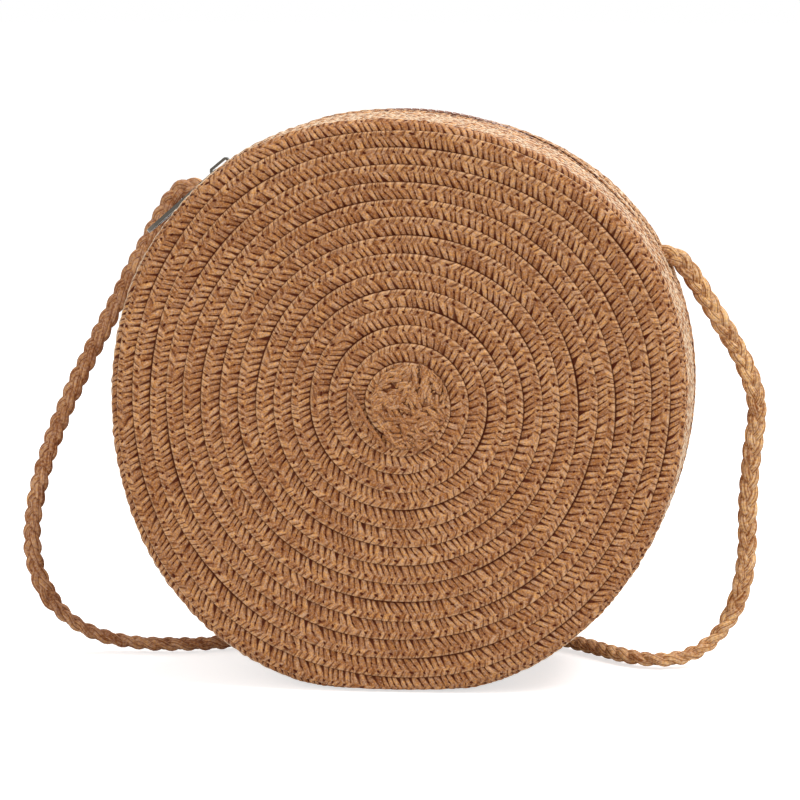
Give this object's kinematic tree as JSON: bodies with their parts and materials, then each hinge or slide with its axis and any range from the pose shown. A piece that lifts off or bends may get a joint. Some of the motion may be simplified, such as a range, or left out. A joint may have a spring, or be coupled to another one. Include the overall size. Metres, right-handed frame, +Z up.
{
  "type": "circle bag",
  "caption": "Round straw shoulder bag: two spiral-sewn braid pans, a curved zip with slider and pull tab over the top, cloth lining and a knotted rope strap.",
  "frame": {"origin": "middle of the flat base, midway between the front and the back face", "axes": "+Z up, front face towards -Y, +X to the right seen from the front"},
  "size_m": [0.2411, 0.1567, 0.1765],
  "materials": {
    "straw_braid": "woven matte",
    "lining_cloth": "plain cotton",
    "zip_tape": "woven matte",
    "zip_teeth": "satin",
    "nickel": "polished",
    "jute_rope": "plaited"
  },
  "bodies": {
    "bag_body": {"front_shell": "straw_braid", "back_shell": "straw_braid", "lining_front": "lining_cloth", "lining_back": "lining_cloth", "zip_tape_back": "zip_tape", "zip_teeth_back": "zip_teeth", "zip_stop_back": "nickel", "zip_bottom_stop": "nickel", "lower_seam_tape": "lining_cloth", "strap_left_knot": "jute_rope", "strap_right_knot": "jute_rope", "strap_left_run": "jute_rope", "strap_right_run": "jute_rope", "strap_coil": "jute_rope", "strap_coil_tie": "jute_rope"},
    "zip_slider": {"zip_slider_body": "nickel", "zip_slider_bridge": "nickel"},
    "mouth_lip": {"front_lip": "straw_braid", "lining_lip": "lining_cloth", "zip_tape_front": "zip_tape", "zip_teeth_front": "zip_teeth", "zip_stop_front": "nickel"},
    "pull_tab": {"zip_pull_tab": "nickel"}
  },
  "joints": [
    {"name": "slider_travel", "type": "hinge", "parent": "bag_body", "child": "zip_slider", "pos_m": [0, 0, 0.0865], "axis": [0, 1, 0], "range_deg": [0, 101], "deforming": ["zip_teeth_back"]},
    {"name": "mouth_open", "type": "hinge", "parent": "bag_body", "child": "mouth_lip", "pos_m": [0.00992, -0.039, 0.13315], "axis": [0.9781, 0, -0.2079], "range_deg": [0, 32], "deforming": ["zip_tape_front", "zip_teeth_front"]},
    {"name": "tab_swing", "type": "hinge", "parent": "zip_slider", "child": "pull_tab", "pos_m": [-0.05953, 0, 0.15594], "axis": [0, 1, 0], "range_deg": [-3.5, 161.5]}
  ],
  "couplings": [
    {"joint": "mouth_open", "follows": "slider_travel", "ratio": 0.3168}
  ]
}
